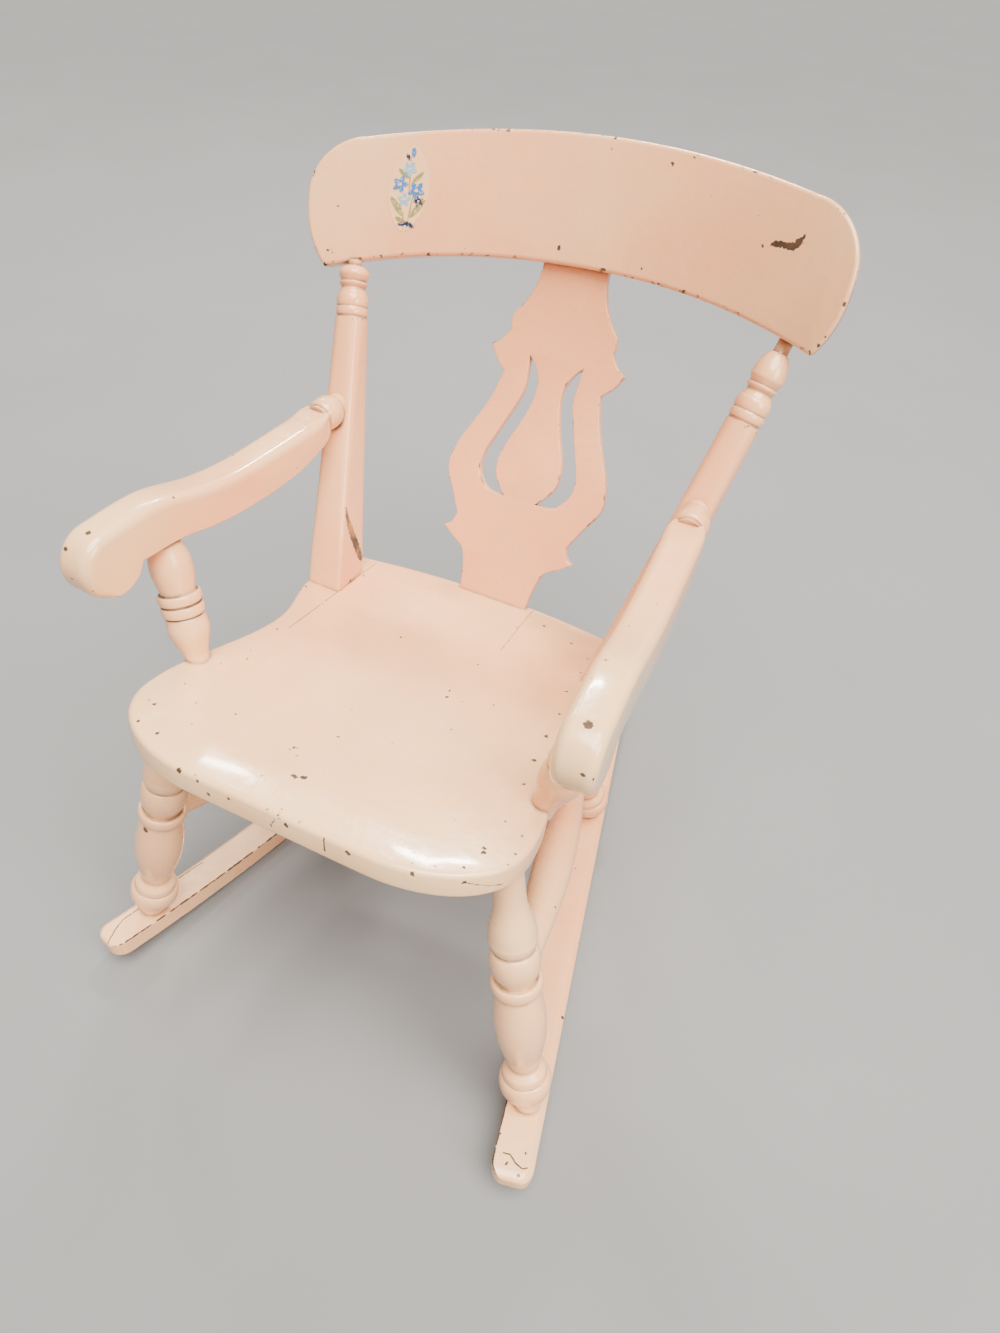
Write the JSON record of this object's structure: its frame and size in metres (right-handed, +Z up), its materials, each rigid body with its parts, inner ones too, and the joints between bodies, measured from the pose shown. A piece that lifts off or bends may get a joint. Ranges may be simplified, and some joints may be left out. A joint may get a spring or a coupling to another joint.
{
  "type": "childs rocking chair",
  "caption": "Child's wooden rocking chair with a pierced lyre splat, turned legs, scrolled arms and a bowed crest rail, in old gloss paint.",
  "frame": {"origin": "on the floor, under the middle of the rockers' length and the middle of the chair's width", "axes": "the chair faces -Y, +Z is up, and +X is to the right of someone who stands in front of it"},
  "size_m": [0.508, 0.657, 0.7055],
  "materials": {
    "cream_gloss_paint": "old cream gloss paint on wood, chipped",
    "pink_gloss_paint": "old pale pink gloss paint on wood, chipped",
    "worn_paint_on_wood": "gloss paint worn to brown wood along the edges"
  },
  "bodies": {
    "root": {"front_leg_left": "cream_gloss_paint", "front_leg_right": "cream_gloss_paint", "rear_leg_left": "cream_gloss_paint", "rear_leg_right": "cream_gloss_paint", "side_stretcher_left": "cream_gloss_paint", "side_stretcher_right": "cream_gloss_paint", "cross_stretcher": "cream_gloss_paint", "seat_board_left": "cream_gloss_paint", "seat_board_centre": "cream_gloss_paint", "seat_board_right": "cream_gloss_paint", "arm_left": "cream_gloss_paint", "arm_right": "cream_gloss_paint", "crest_rail": "pink_gloss_paint", "splat": "pink_gloss_paint", "back_post_left": "pink_gloss_paint", "back_post_right": "pink_gloss_paint", "arm_support_left": "pink_gloss_paint", "arm_support_right": "pink_gloss_paint", "rocker_left": "worn_paint_on_wood", "rocker_right": "worn_paint_on_wood"}
  },
  "joints": []
}
